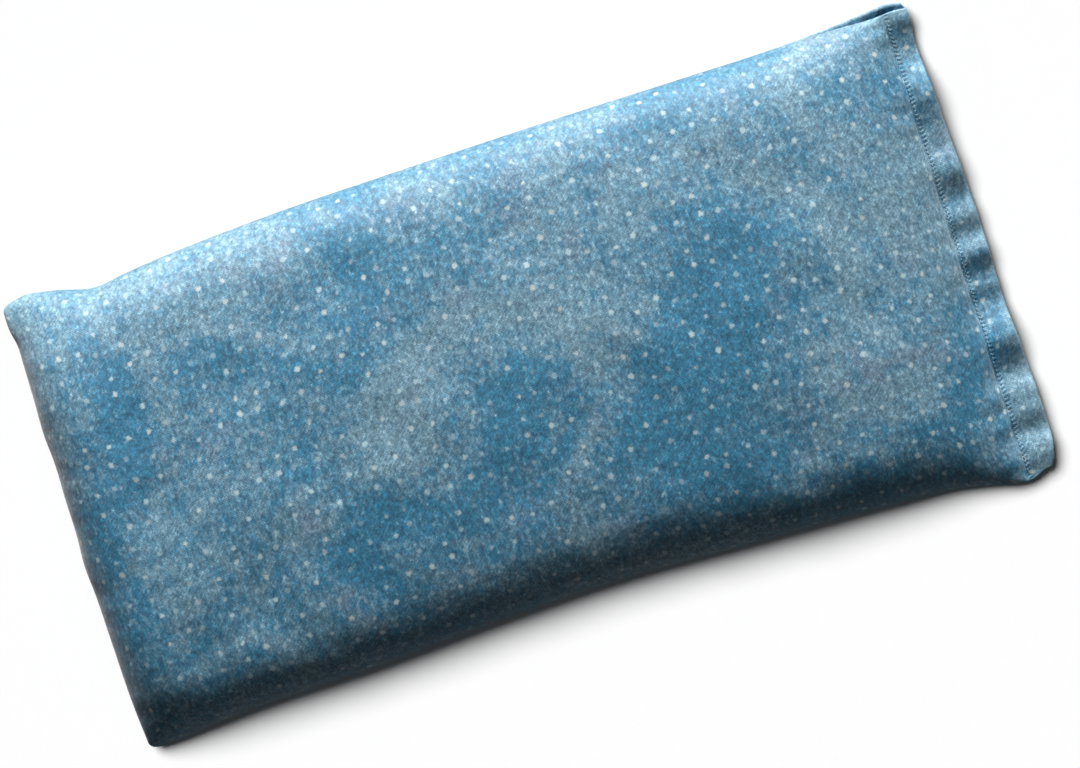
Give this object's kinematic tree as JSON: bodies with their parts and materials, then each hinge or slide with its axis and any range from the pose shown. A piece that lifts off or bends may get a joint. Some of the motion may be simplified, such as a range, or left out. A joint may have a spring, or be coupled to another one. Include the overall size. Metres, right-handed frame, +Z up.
{
  "type": "eye pillow",
  "caption": "Rectangular seed-filled cotton eye pillow that lies flat or drapes over closed eyes, with a topstitched flange along its closed end.",
  "frame": {"origin": "middle of the bounding box, on the flat underside", "axes": "+X along the length towards the topstitched closing flange, +Y across the width, +Z up through the pillow's thickness"},
  "size_m": [0.221, 0.115, 0.0215],
  "materials": {
    "front_cotton": "soft printed plain-weave cotton, mottled mid-blue and grey-blue with small cream dots",
    "back_cotton": "the same printed cotton, seen on the underside",
    "closing_thread": "matte spun polyester thread, grey-blue",
    "seam_thread": "matte spun polyester thread, pale grey",
    "flaxseed": "glossy brown seed",
    "lavender": "dry grey-violet buds"
  },
  "bodies": {
    "root": {"front_panel": "front_cotton", "back_panel": "back_cotton", "closing_needle_thread": "closing_thread", "closing_bobbin_thread": "closing_thread", "seam_needle_thread": "seam_thread", "seam_bobbin_thread": "seam_thread", "flaxseed_fill": "flaxseed", "lavender_buds": "lavender"}
  },
  "joints": []
}
